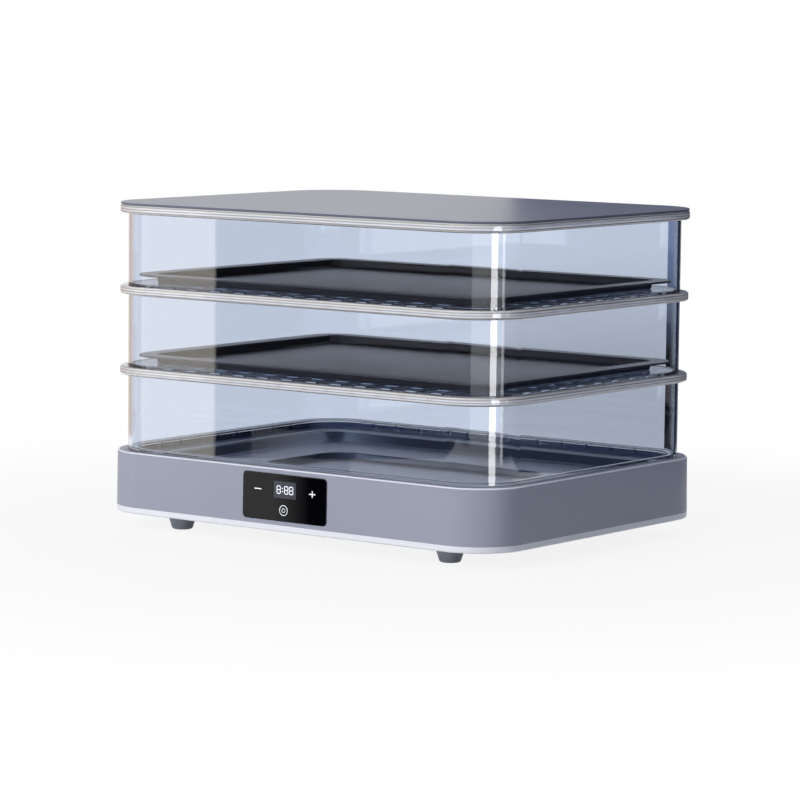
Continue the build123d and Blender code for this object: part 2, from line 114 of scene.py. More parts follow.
def moulded(name, colour, roughness, grain_mm, depth_mm, spread=0.03, metal=0.0, specular=0.5, coat=0.0,
            painted_highlight_band=None):
    """A moulded, sprayed or pressed surface: fine grain in the gloss and bump, and a slow drift in colour.

    The grain's size and depth are in mm. Spread is how far the colour drifts either way, over about 110 mm.
    The painted highlight band gives the heights between which an edge is painted pale as a highlight, and its
    colour.
    """
    m = new_material(name)
    place = add(m, "ShaderNodeTexCoord")
    fine = add(m, "ShaderNodeTexNoise", {"Vector": place.outputs["Object"]}, Scale=1000 / grain_mm, Detail=3)
    slow = add(m, "ShaderNodeTexNoise", {"Vector": place.outputs["Object"]}, Scale=9, Detail=4)
    r, g, b, _ = linear(colour)
    tone = add(
        m,
        "ShaderNodeMix",
        {"0": slow.outputs["Fac"]},
        data_type="RGBA",
        socket_6=(r * (1 - spread), g * (1 - spread), b * (1 - spread), 1),
        socket_7=(r * (1 + spread), g * (1 + spread), b * (1 + spread), 1),
    )
    # Painted highlight: a pale band of colour between two heights, for an edge that turns towards the light.
    if painted_highlight_band:
        low, high, highlight_colour = painted_highlight_band
        apart = add(m, "ShaderNodeSeparateXYZ", {"Vector": place.outputs["Object"]})
        in_highlight_band = add(m, "ShaderNodeMath", {"0": apart.outputs["Z"]}, operation="COMPARE",
                      socket_1=(low + high) / 2, socket_2=(high - low) / 2)
        tone = add(m, "ShaderNodeMix", {"0": in_highlight_band.outputs[0], "6": tone.outputs[2]}, data_type="RGBA",
                   socket_7=linear(highlight_colour))
    rough = add(m, "ShaderNodeMapRange", {"Value": fine.outputs["Fac"]},
                To_Min=max(0.0, roughness - 0.05), To_Max=roughness + 0.05)
    bump = add(m, "ShaderNodeBump", {"Height": fine.outputs["Fac"]}, Strength=0.6, Distance=depth_mm / 1000)
    shader = add(
        m,
        "ShaderNodeBsdfPrincipled",
        {"Base Color": tone.outputs[2], "Roughness": rough.outputs[0], "Normal": bump.outputs[0]},
        Specular_IOR_Level=specular,
        Metallic=metal,
        Coat_Weight=coat,
    )
    add(m, "ShaderNodeOutputMaterial", {"Surface": shader.outputs[0]})
    return m


# Spark-eroded texture on injection moulded ABS: an even, soft sheen with no mirror images, and a painted
# highlight: a pale line painted along the small bevel at the top, where it turns towards the light.
housing_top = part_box("base_housing")[1].z
bevel_painted_highlight = (housing_top - 0.0014, housing_top - 0.0002, "#e9ebf2")
dress(["base_housing"], moulded("Satin grey ABS", "#999ca9", 0.42, 0.4, 0.008, painted_highlight_band=bevel_painted_highlight))


# ---------------------------------------------------------------- bottom cover and its screws
# A shallow tray of paler ABS under the housing; its edge shows as a light band. Six pan head screws
# with cross recesses hold it from below.

# The same moulding texture in a paler colour: it reads as a clean, bright line against the grey shell.
dress(["bottom_cover"], moulded("Pale grey ABS", "#e9eaee", 0.38, 0.4, 0.008))


def begin():
    """Leaves edit mode and deselects everything, since operators act on all that is selected."""
    if bpy.context.object and bpy.context.object.mode != "OBJECT":
        bpy.ops.object.mode_set(mode="OBJECT")
    bpy.ops.object.select_all(action="DESELECT")


def settle(piece, name, smooth=30):
    """Ends a piece: named, its place in its mesh, smooth where its faces turn gently."""
    if piece.mode != "OBJECT":
        bpy.ops.object.mode_set(mode="OBJECT")
    bpy.ops.object.select_all(action="DESELECT")
    piece.select_set(True)
    bpy.context.view_layer.objects.active = piece
    bpy.ops.object.transform_apply(location=True, rotation=True, scale=True)
    bpy.ops.object.shade_smooth_by_angle(angle=math.radians(smooth))
    piece.name = name
    piece.data.name = name
    return piece


def pick(test):
    """In edit mode, selects the faces whose middle and normal pass a test."""
    piece = bpy.context.object
    bpy.ops.mesh.select_mode(type="FACE")
    bpy.ops.mesh.select_all(action="DESELECT")
    bpy.ops.object.mode_set(mode="OBJECT")
    for face in piece.data.polygons:
        face.select = bool(test(piece.matrix_world @ face.center, face.normal))
    bpy.ops.object.mode_set(mode="EDIT")


def copy_to(piece, name, shift):
    """A copy with its own mesh, moved."""
    twin = piece.copy()
    twin.data = piece.data.copy()
    twin.data.transform(Matrix.Translation(shift))
    twin.name = name
    twin.data.name = name
    bpy.context.scene.collection.objects.link(twin)
    return twin


def finish_as(piece, material, body):
    """Gives a new piece its material and the body that it moves with."""
    piece.data.materials.clear()
    piece.data.materials.append(material)
    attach(piece, body)


# Bright zinc on cold formed steel: small, slightly blurred glints.
steel = moulded("Zinc plated steel screw", "#b9bab8", 0.32, 0.2, 0.004, metal=1.0)
head_height = 0.0016
head_rounding = 0.0007
recess_height = 0.0018


def screw(name, spot, radius):
    """A pan head with a cross recess, its head hanging down from a point."""
    x, y, z = spot
    begin()
    bpy.ops.mesh.primitive_cylinder_add(
        vertices=32, radius=radius, depth=head_height, location=(x, y, z - head_height / 2)
    )
    head = bpy.context.object
    bpy.ops.object.mode_set(mode="EDIT")
    pick(lambda middle, normal: normal.z < -0.9)
    bpy.ops.mesh.bevel(offset=head_rounding, segments=4, affect="EDGES")
    bpy.ops.object.mode_set(mode="OBJECT")
    cutters = []
    recess_length = radius * 1.1
    recess_width = radius * 0.28
    for wide, deep in ((recess_length, recess_width), (recess_width, recess_length)):
        begin()
        bpy.ops.mesh.primitive_cube_add(
            size=1, location=(x, y, z - head_height), scale=(wide, deep, recess_height)
        )
        cutters.append(bpy.context.object)
    for cutter in cutters:
        cut = head.modifiers.new("cross", "BOOLEAN")
        cut.object = cutter
        cut.operation = "DIFFERENCE"
        begin()
        head.select_set(True)
        bpy.context.view_layer.objects.active = head
        bpy.ops.object.modifier_apply(modifier=cut.name)
        bpy.data.objects.remove(cutter)
    return settle(head, name)


# Two screws near each end and one in the middle of the front and of the back.
cover_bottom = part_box("bottom_cover")[0].z
cover_screw_radius = 0.0036
first_screw = screw("cover_screw_1", (-0.2, -0.06, cover_bottom), cover_screw_radius)
finish_as(first_screw, steel, "base")
shifts_from_first = [(0.4, 0.0), (0.0, 0.12), (0.4, 0.12), (0.2, -0.09), (0.2, 0.21)]
for count, (right, back) in enumerate(shifts_from_first):
    twin = copy_to(first_screw, f"cover_screw_{count + 2}", (right, back, 0))
    finish_as(twin, steel, "base")


# ---------------------------------------------------------------- feet
# Four tapered feet, moulded in grey rubber with rounded rims. Each has a recess in its sole, with the
# screw that holds it to the cover.

# Compression moulded rubber: matt and slightly uneven, with no glints.
rubber = moulded("Moulded grey rubber", "#82868f", 0.6, 0.7, 0.05)
sole_radius = 0.0095
recess_depth = 0.006
foot_screw_radius = 0.0030
for name in ("foot_front_left", "foot_front_right", "foot_rear_left", "foot_rear_right"):
    low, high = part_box(name)
    middle = (low + high) / 2
    top_radius = (high.x - low.x) / 2
    begin()
    bpy.ops.mesh.primitive_cone_add(
        vertices=64, radius1=sole_radius, radius2=top_radius, depth=high.z - low.z, location=middle
    )
    foot = bpy.context.object
    bpy.ops.object.mode_set(mode="EDIT")
    pick(lambda place, normal: normal.z < -0.9)
    bpy.ops.mesh.bevel(offset=0.0018, segments=6, affect="EDGES")
    pick(lambda place, normal: normal.z < -0.9 and (place - Vector((middle.x, middle.y, 0))).length < 0.001)
    bpy.ops.mesh.inset(thickness=0.0028)
    bpy.ops.mesh.inset(thickness=0.0004, depth=-0.0004)
    bpy.ops.mesh.inset(thickness=0.0001, depth=-recess_depth)
    pick(lambda place, normal: normal.z > 0.9)
    bpy.ops.mesh.bevel(offset=0.0006, segments=3, affect="EDGES")
    settle(foot, name + "_moulding")
    finish_as(foot, rubber, "base")
    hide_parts(name)
    recess_top = low.z + recess_depth + 0.0004
    head = screw(name + "_screw", (middle.x, middle.y, recess_top), foot_screw_radius)
    finish_as(head, steel, "base")


# ---------------------------------------------------------------- heating pan
# Pressed aluminium sheet with a thin slate grey coat: a flange that is bonded to the housing's ledge over
# a seal, a sloping wall, a flat floor and, in the middle, a shallow well for water.
def start_outline(half_x, half_y, radius, z, thickness):
    """A slab with rounded corners: the widest band of a moulding, to be carried inwards above and below."""
    begin()
    bpy.ops.mesh.primitive_plane_add(size=2, location=(0, 0, z))
    bpy.ops.object.mode_set(mode="EDIT")
    bpy.ops.mesh.select_all(action="SELECT")
    bpy.ops.transform.resize(value=(half_x, half_y, 1), center_override=(0, 0, z))
    bpy.ops.mesh.bevel(offset=radius, offset_type="OFFSET", segments=16, affect="VERTICES")
    bpy.ops.mesh.select_mode(type="FACE")
    bpy.ops.mesh.select_all(action="SELECT")
    bpy.ops.mesh.extrude_region_move(TRANSFORM_OT_translate={"value": (0, 0, thickness)})
    bpy.ops.mesh.select_all(action="SELECT")
    bpy.ops.mesh.normals_make_consistent(inside=False)
    return bpy.context.object


def carry(steps):
    """Carries the selected face inwards and along its own direction, a ring of faces for each step, in mm."""
    for inward, along in steps:
        bpy.ops.mesh.inset(thickness=inward / 1000, depth=along / 1000)


def quarter(radius, parts, out_first=True):
    """Steps round a quarter circle: out_first starts along the direction, and else starts inwards."""
    steps = []
    for i in range(parts):
        a = math.pi / 2 * i / parts
        b = math.pi / 2 * (i + 1) / parts
        step = (radius * (math.cos(a) - math.cos(b)), radius * (math.sin(b) - math.sin(a)))
        steps.append(step if out_first else (step[1], step[0]))
    return steps


def weigh(piece):
    """Keeps broad faces flat in the shading where a small rounding meets them."""
    begin()
    piece.select_set(True)
    bpy.context.view_layer.objects.active = piece
    weighting = piece.modifiers.new("flat faces", "WEIGHTED_NORMAL")
    weighting.keep_sharp = True
    weighting.weight = 100
    bpy.ops.object.modifier_apply(modifier=weighting.name)


# The outer face of the clear walls in plan, which the pan's lip is placed by too.
wall_half = (0.222, 0.170)
wall_radius = 0.048


def outside(point):
    """How far a point lies outside the wall's outer face, in plan."""
    x = max(abs(point.x) - wall_half[0] + wall_radius, 0)
    y = max(abs(point.y) - wall_half[1] + wall_radius, 0)
    return math.hypot(x, y) - wall_radius


def turn(radius, degrees, parts):
    """Steps that round a pressing's edge over, from flat down to a slope."""
    angles = [math.radians(degrees) * i / parts for i in range(parts + 1)]
    return [
        (radius * (math.sin(b) - math.sin(a)), radius * (math.cos(b) - math.cos(a)))
        for a, b in zip(angles, angles[1:])
    ]


def turned_over(steps):
    """The same steps for a face that looks down."""
    return [(inward, -along) for inward, along in steps]


# A thin coat with metal flake on pressed sheet: the floor shows a soft, bluish sheen, and the wall goes dark
# where it turns away from the light.
pan_coat = moulded("Slate grey coated aluminium", "#8a93a6", 0.3, 0.5, 0.002, metal=0.5)
# A painted highlight: the lip is painted near white where the sheet is turned, so it reads as a light line.
lip_painted_highlight = moulded("Painted highlight on the pan's turned lip", "#fafcff", 0.3, 0.5, 0.002, specular=1.0)
flange_edge = quarter(0.4, 3)
wall_angle = 48
pan = start_outline(half_x=0.2185, half_y=0.1665, radius=0.0445, z=0.0674, thickness=0.0002)
# The upper side: the flange, the turn at the lip, the wall with its pale top, and the turn into the floor.
pick(lambda middle, normal: normal.z > 0.9)
carry(flange_edge)
carry([(18.8, 0), (0.8, 0)])
carry(turn(2.0, wall_angle, 6))
carry([(1.26, -1.4), (6.25, -6.945)])
carry(turn(3.0, wall_angle, 5)[::-1])
bpy.ops.mesh.delete(type="FACE")
# The lower side, one sheet's thickness away, and then the inner edge that closes the two.
pick(lambda middle, normal: normal.z < -0.9)
carry(flange_edge)
carry([(19.9, 0)])
carry(turned_over(turn(1.0, wall_angle, 4)))
carry([(7.8, 8.67)])
bpy.ops.mesh.delete(type="FACE")
bpy.ops.mesh.select_mode(type="EDGE")
bpy.ops.mesh.select_all(action="DESELECT")
bpy.ops.mesh.select_non_manifold()
bpy.ops.mesh.bridge_edge_loops()
bpy.ops.mesh.select_mode(type="FACE")
bpy.ops.mesh.select_all(action="SELECT")
bpy.ops.mesh.normals_make_consistent(inside=False)
settle(pan, "pan_rim_pressing", 35)
weigh(pan)
finish_as(pan, pan_coat, "base")
pan.data.materials.append(lip_painted_highlight)
# The lip starts 22.5 mm inside the walls and is painted pale, as a highlight, down to a little way below its
# turn.
lip_start = -0.0225
lip_foot = 0.0663
# The lip's upward faces get the painted highlight.
for face in pan.data.polygons:
    in_lip_highlight = face.normal.z > 0.05 and outside(face.center) < lip_start and face.center.z > lip_foot
    face.material_index = int(in_lip_highlight)
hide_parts("pan_rim")

# The well: a steep wall between two turns, and a flat bottom, first from above and then from below.
well_angle = 70
well = start_outline(half_x=0.130, half_y=0.066, radius=0.030, z=0.0574, thickness=0.0002)
pick(lambda middle, normal: normal.z > 0.9)
carry(flange_edge)
carry([(0.3, 0)])
carry(turn(1.2, well_angle, 5))
carry([(1.54, -4.22)])
carry(turn(1.5, well_angle, 5)[::-1])
pick(lambda middle, normal: normal.z < -0.9 and middle.z > 0.057)
carry(flange_edge)
carry([(0.3, 0)])
carry(turned_over(turn(0.6, well_angle, 3)))
carry([(1.86, 5.1), (0.5, 0.31), (0.7, 0.2)])
settle(well, "well_pressing", 35)
weigh(well)
finish_as(well, pan_coat, "base")
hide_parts("well_rim", "well_floor")
dress(["pan_floor"], pan_coat)
# Foamed silicone strip: dull black with open pores.
dress(["pan_seal"], moulded("Black silicone sponge", "#262628", 0.7, 0.6, 0.08))


# ---------------------------------------------------------------- heating parts under the pan
# An etched foil heater bonded under the well, a felt pad that keeps its heat up, a thermistor bead in
# resin and a thermal cutout in a plain steel can.

# Laminated polyimide film: glossy amber, mottled where the foil under it shows through.
dress(["heating_element"], moulded("Polyimide faced foil heater", "#b8792a", 0.28, 1.5, 0.01, spread=0.12))
# Needled fibres: quite matt, off-white and fuzzy.
dress(["insulation_pad"], moulded("Needled felt", "#d9d5c9", 0.9, 0.8, 0.3, spread=0.1))
# Cast resin: black with a dull shine.
dress(["temperature_sensor"], moulded("Black epoxy resin", "#17171a", 0.4, 0.6, 0.02))
# Drawn and plated steel: a clear metallic shine.
dress(["thermal_cutout"], moulded("Plain nickel plated can", "#bdbdbf", 0.3, 0.3, 0.004, metal=1.0))


# ---------------------------------------------------------------- clear tiers
# Each is one moulding in clear SAN with a faint blue cast: a neck with ribs that centre it in the wall
# below, a slotted shelf for a tray (none in the lowest tier), a tall wall, and a thick flange with two
# fine grooves that is the socket for the next tier.
line_spacing = 0.0024


def clear_plastic(name, tint, transmission, polish, scuff, painted_line_tint=None):
    """Clear moulding: tinted, its gloss between polish and scuff in soft patches about 17 mm across.

    It lets light through to what it shades. A painted line tint draws level lines round it: painted
    reflections for a thick flange, which shows its far side edge on.
    """
    m = new_material(name)
    place = add(m, "ShaderNodeTexCoord")
    scuffs = add(m, "ShaderNodeTexNoise", {"Vector": place.outputs["Object"]}, Scale=60, Detail=3)
    rough = add(m, "ShaderNodeMapRange", {"Value": scuffs.outputs["Fac"]},
                From_Min=0.5, To_Min=polish, To_Max=scuff)
    glass = add(m, "ShaderNodeBsdfPrincipled", {"Roughness": rough.outputs[0]},
                Base_Color=linear(tint), IOR=1.5, Transmission_Weight=transmission)
    # Painted reflections: grey level lines mixed into the tint.
    if painted_line_tint:
        wave_at_scale_one = 0.31416
        lines = add(m, "ShaderNodeTexWave", {"Vector": place.outputs["Object"]}, bands_direction="Z",
                    Scale=wave_at_scale_one / line_spacing)
        striped = add(m, "ShaderNodeMix", {"0": lines.outputs["Fac"]}, data_type="RGBA",
                      socket_6=linear(painted_line_tint), socket_7=linear(tint))
        m.node_tree.links.new(striped.outputs[2], glass.inputs["Base Color"])
    through = add(m, "ShaderNodeBsdfTransparent", Color=linear(tint))
    light = add(m, "ShaderNodeLightPath")
    both = add(m, "ShaderNodeMixShader",
               {"0": light.outputs["Is Shadow Ray"], "1": glass.outputs[0], "2": through.outputs[0]})
    add(m, "ShaderNodeOutputMaterial", {"Surface": both.outputs[0]})
    return m


# Injection moulded from a polished tool: sharp reflections, and a faint blue that deepens wall by wall.
clear = clear_plastic("Clear blue tinted SAN", "#E5EBF6", 1.0, 0.004, 0.012)
# Painted light: the same plastic, 8 mm thick at the flange, is painted a milky, warm white ring with fine
# grey lines, for the light it gathers and the edges seen through it.
flange_painted_light = clear_plastic("Clear SAN with painted light at the flange", "#fffcf8", 0.38, 0.08, 0.2, "#b2b0b0")
# A painted highlight: the small step at the foot of the lowest wall, which gathers light in the same way, is
# painted
# nearly opaque white: a thin white line.
step_painted_highlight = clear_plastic("Painted highlight on a turned edge of clear SAN", "#ffffff", 0.1, 0.1, 0.25)
# Painted shade: the shelf is looked at along its sheet, through 30 mm of plastic, and is painted a deeper,
# blurred blue grey for it.
shelf_painted_shade = clear_plastic("Clear SAN with painted shade, seen edge on", "#98a4ba", 1.0, 0.15, 0.35)
flange_reach = 0.0078
flange_middle = 0.0753
seats = {"lower_tier": 0.0740, "middle_tier": 0.1503, "upper_tier": 0.2266}
row_counts = (12, 8)
slot_pitch = 0.0284
slot_inset = 0.0205
slot_size = (0.016, 0.007, 0.006)
slot_corner = 0.003
slot_height = 0.00375
rib_inset = 0.0055
rib_size = (0.002, 0.0045, 0.0046)
rib_height = -0.0021
groove_heights = (0.0770, 0.0746)


def join_all(pieces, name):
    """Makes one piece of several."""
    begin()
    for piece in pieces:
        piece.select_set(True)
    bpy.context.view_layer.objects.active = pieces[0]
    bpy.ops.object.join()
    joined = bpy.context.object
    joined.name = name
    joined.data.name = name
    return joined


def along_walls(inset, size, z, round_corners):
    """Blocks in rows along all four walls, joined: each of a length, width and height."""
    length, width, height = size
    blocks = []
    for count, step, middle, wide, deep in (
        (row_counts[0], (slot_pitch, 0), (0, wall_half[1] - inset), length, width),
        (row_counts[1], (0, slot_pitch), (wall_half[0] - inset, 0), width, length),
    ):
        for side in (-1, 1):
            for k in range(count):
                shift = k - (count - 1) / 2
                spot = (side * middle[0] + shift * step[0], side * middle[1] + shift * step[1], z)
                begin()
                bpy.ops.mesh.primitive_cube_add(size=1, location=spot, scale=(wide, deep, height))
                block = bpy.context.object
                bpy.ops.object.transform_apply(location=False, rotation=False, scale=True)
                if round_corners:
                    bpy.ops.object.mode_set(mode="EDIT")
                    bpy.ops.mesh.select_mode(type="EDGE")
                    bpy.ops.mesh.select_all(action="DESELECT")
                    bpy.ops.object.mode_set(mode="OBJECT")
                    for edge in block.data.edges:
                        a, b = (block.data.vertices[v].co for v in edge.vertices)
                        edge.select = abs(a.z - b.z) > 0.001
                    bpy.ops.object.mode_set(mode="EDIT")
                    bpy.ops.mesh.bevel(offset=round_corners, segments=4, affect="EDGES")
                    bpy.ops.object.mode_set(mode="OBJECT")
                blocks.append(block)
    return join_all(blocks, "blocks")


def combine(piece, tool, operation):
    """Cuts a tool out of a piece, or welds it on."""
    change = piece.modifiers.new("change", "BOOLEAN")
    change.object = tool
    change.operation = operation
    begin()
    piece.select_set(True)
    bpy.context.view_layer.objects.active = piece
    bpy.ops.object.modifier_apply(modifier=change.name)
    bpy.data.objects.remove(tool)


def clear_tier(name, has_shelf):
    """One tier, modelled from the flange's widest band upwards and inwards, then downwards and inwards."""
    seat = seats[name]
    half_x, half_y = (half + flange_reach for half in wall_half)
    tier = start_outline(half_x, half_y, wall_radius + flange_reach, seat + flange_middle, 0.001)
    flange_half = [(0, 0.3), (0, 0.4), (0, 0.4), (0, 0.2)] + quarter(2.2, 6)
    softened_in = [(0.35, -0.15), (0.15, -0.35)]
    wall_foot = [(0.3, -0.7), (0.7, -0.3)]

    # Upwards and inwards: half the flange, the socket's rim, side and floor, and the wall's inner face.
    pick(lambda middle, normal: normal.z > 0.9)
    carry(flange_half)
    carry([(4.5, 0), (0.3, -0.1), (0.2, -0.2), (0.1, -0.3), (0, -2.9)])
    carry([(3.0, 0)] + softened_in)
    if has_shelf:
        # The shelf's upper face, out to its free edge.
        carry([(0, -69.8)] + wall_foot)
        carry([(29.4, 0), (0.4, -0.2), (0.2, -0.4)])
    else:
        # The step's upper face, with a turned edge over the heating pan.
        carry([(0, -72.3)] + wall_foot)
        carry([(4.9, 0), (0.45, -0.15), (0.4, -0.35), (0.25, -0.6)])
    bpy.ops.mesh.delete(type="FACE")

    # Downwards and inwards: the flange's lower half, the wall's outer face, the step that bears on the
    # piece below, and the neck that drops inside it.
    pick(lambda middle, normal: normal.z < -0.9)
    carry(flange_half)
    carry([(4.6, 0), (0.5, 0.13), (0.37, 0.37), (0.13, 0.5), (0, 70.0), (0.1, 0.4), (0.3, 0.3), (0.4, 0.1)])
    carry([(6.2, 0), (0.35, 0.15), (0.15, 0.35), (0, 4.5), (0.15, 0.35), (0.35, 0.15)])
    carry([(1.5, 0)] + softened_in)
    if has_shelf:
        carry([(0, -7.0), (0.15, -0.35), (0.35, -0.15), (22.9, 0), (0.4, -0.2), (0.2, -0.4)])
    bpy.ops.mesh.delete(type="FACE")
    bpy.ops.mesh.select_mode(type="EDGE")
    bpy.ops.mesh.select_all(action="DESELECT")
    bpy.ops.mesh.select_non_manifold()
    bpy.ops.mesh.bridge_edge_loops()

    # Two grooves, each a ring of corners drawn inwards by less than 0.4 mm.
    for groove in groove_heights:
        bpy.ops.mesh.select_mode(type="VERT")
        bpy.ops.mesh.select_all(action="DESELECT")
        bpy.ops.object.mode_set(mode="OBJECT")
        for vertex in tier.data.vertices:
            vertex.select = outside(vertex.co) > 0.007 and abs(vertex.co.z - seat - groove) < 0.0001
        bpy.ops.object.mode_set(mode="EDIT")
        bpy.ops.transform.resize(value=(0.9984, 0.998, 1), center_override=(0, 0, seat + groove))
    bpy.ops.mesh.select_mode(type="FACE")
    bpy.ops.mesh.select_all(action="SELECT")
    bpy.ops.mesh.normals_make_consistent(inside=False)
    bpy.ops.object.mode_set(mode="OBJECT")
    if has_shelf:
        slots = along_walls(slot_inset, slot_size, seat + slot_height, slot_corner)
        combine(tier, slots, "DIFFERENCE")
    ribs = along_walls(rib_inset, rib_size, seat + rib_height, 0)
    combine(tier, ribs, "UNION")
    settle(tier, name + "_moulding", 35)
    weigh(tier)
    return tier


lower = clear_tier("lower_tier", False)
middle = clear_tier("middle_tier", True)
upper = copy_to(middle, "upper_tier_moulding", (0, 0, seats["upper_tier"] - seats["middle_tier"]))
for piece, name in ((lower, "lower_tier"), (middle, "middle_tier"), (upper, "upper_tier")):
    finish_as(piece, clear, name)
    for painted_look in (flange_painted_light, shelf_painted_shade, step_painted_highlight):
        piece.data.materials.append(painted_look)
    # Painted light on the flange, which stands outside the wall; painted shade on the shelf's sheet, which
    # starts 3.5 mm inside the wall's outer face; and a painted highlight on the lowest tier's step, which
    # turns down over the pan 9 to 10 mm inside it.
    for face in piece.data.polygons:
        reach = outside(face.center)
        rise = face.center.z - seats[name]
        if reach > 0.0004:
            face.material_index = 1
        elif name != "lower_tier" and reach < -0.0035 and 0.0024 < rise < 0.0052:
            face.material_index = 2
        elif name == "lower_tier" and -0.0102 < reach < -0.0088 and rise > 0.0013:
            face.material_index = 3
    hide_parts(name)


# ---------------------------------------------------------------- baking trays
# Pressed sheet steel with a baked non-stick coat: a wide flat lip, its edge rolled under, and a shallow
# wall with a soft turn into the floor. Each lies loose on a shelf.

# Baked coat on smooth sheet: dark warm grey, with a broad satin sheen on the floor.
tray_coat = moulded("Non-stick coated steel", "#686160", 0.34, 0.5, 0.003)
tray_corner = 0.030
rolled_edge = quarter(0.9, 4)
for name in ("lower_tray", "upper_tray"):
    low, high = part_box(name)
    tray = start_outline(high.x, high.y, tray_corner, high.z - 0.0011, 0.0002)
    # From above: the lip, the turn down, the wall and the turn into the floor.
    pick(lambda middle, normal: normal.z > 0.9)
    carry(rolled_edge)
    carry([(16.1, 0)])
    carry(turned_over(quarter(1.5, 5, out_first=False)))
    carry([(0.4, -3.8)])
    carry(turned_over(quarter(2.5, 5)))
    # From below: the rolled edge, the lip's underside, and down to a foot just clear of the shelf.
    pick(lambda middle, normal: normal.z < -0.9 and middle.z > low.z)
    carry(rolled_edge)
    carry([(0.9, 0), (0.1, -0.8), (14.5, 0)])
    carry(quarter(1.2, 3, out_first=False))
    carry([(0.4, 4.8)])
    carry(quarter(1.5, 4))
    settle(tray, name + "_pressing", 35)
    weigh(tray)
    finish_as(tray, tray_coat, name)
    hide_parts(name)


# ---------------------------------------------------------------- lid
# A thin flat plate in grey ABS with a softly rounded edge, bonded to a clear frame that drops inside the
# top tier's wall.

# A smoother texture than the housing's: seen along its face, it mirrors the room as a soft light gradient.
lid_grey = moulded("Satin grey ABS lid", "#656878", 0.33, 0.4, 0.004, specular=0.33)
lid_corner = 0.0555
low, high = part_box("lid_plate")
lid = start_outline(high.x, high.y, lid_corner, low.z + 0.0009, 0.0004)
pick(lambda middle, normal: normal.z > 0.9)
carry(quarter(0.7, 4))
pick(lambda middle, normal: normal.z < -0.9)
carry(quarter(0.9, 4))
settle(lid, "lid_plate_moulding", 35)
weigh(lid)
finish_as(lid, lid_grey, "lid")
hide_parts("lid_plate")
dress(["lid_frame"], clear)


# ---------------------------------------------------------------- control panel
# A pane of float glass, printed black on its back and bonded into the housing's front, over a segment
# display and three touch pads. The marks and digits are clear spots in the print, lit from behind.
panel_low, panel_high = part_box("control_panel")
panel_face = panel_low.y
panel_z = (panel_low.z + panel_high.z) / 2
# Polished glass over black ink: deep black, with clean and fairly sharp reflections.
dress(["control_panel"], moulded("Black printed glass", "#040408", 0.06, 2.0, 0.0, coat=0.3))
# The display's and touch pads' moulded cases behind the glass: plain dark plastic with a dull sheen.
dress(["display_module", "touch_pads"], moulded("Black moulded polycarbonate", "#1b1b1e", 0.4, 0.5, 0.01))

# Ink that glows a little, and not quite evenly: cool white marks that stay readable in a bright room.
white_print = new_material("Backlit white print")
place = add(white_print, "ShaderNodeTexCoord")
haze = add(white_print, "ShaderNodeTexNoise", {"Vector": place.outputs["Object"]}, Scale=900, Detail=2)
glowing = add(white_print, "ShaderNodeMapRange", {"Value": haze.outputs["Fac"]}, To_Min=0.55, To_Max=0.75)
add(white_print, "ShaderNodeOutputMaterial", {"Surface": add(
    white_print, "ShaderNodeBsdfPrincipled", {"Emission Strength": glowing.outputs[0]},
    Base_Color=linear("#d8dade"), Roughness=0.4, Emission_Color=linear("#e8ecf4"),
).outputs[0]})
# A thinner layer of ink in front of the display: the window shows as a dark grey, glossy patch.
smoked = moulded("Smoked display window", "#47484f", 0.1, 2.0, 0.0)
print_lift = 0.00006
digit_lift = 2 * print_lift
window_middle = (0.0005, panel_z + 0.0074)
mark_width = 0.85
mark_z = panel_z + 0.0063
minus_x = -0.031
plus_x = 0.0322
upright_shift = 0.001725
power_x = -0.001
power_z = panel_z - 0.0114


def printed(name, outline, middle, lift):
    """A flat printed shape on the panel's face: a list of (x, z) corners in mm about a middle."""
    begin()
    bpy.ops.mesh.primitive_circle_add(
        vertices=len(outline), radius=0.001, fill_type="NGON",
        location=(middle[0], panel_face - lift, middle[1]), rotation=(math.pi / 2, 0, 0),
    )
    shape = bpy.context.object
    bpy.ops.object.transform_apply(location=False, rotation=True, scale=True)
    for vertex, (x, z) in zip(shape.data.vertices, outline):
        vertex.co = (x / 1000, 0, z / 1000)
    bpy.ops.object.mode_set(mode="EDIT")
    bpy.ops.mesh.select_all(action="SELECT")
    bpy.ops.mesh.extrude_region_move(TRANSFORM_OT_translate={"value": (0, print_lift, 0)})
    bpy.ops.mesh.select_all(action="SELECT")
    bpy.ops.mesh.normals_make_consistent(inside=False)
    return settle(shape, name)


def bar_outline(length, width, upright=False, tip=0.0):
    """A bar with pointed or square ends, in mm."""
    a, b = length / 2, width / 2
    corners = [(-a + tip, -b), (a - tip, -b), (a, 0), (a - tip, b), (-a + tip, b), (-a, 0)]
    return [(z, x) for x, z in corners] if upright else corners


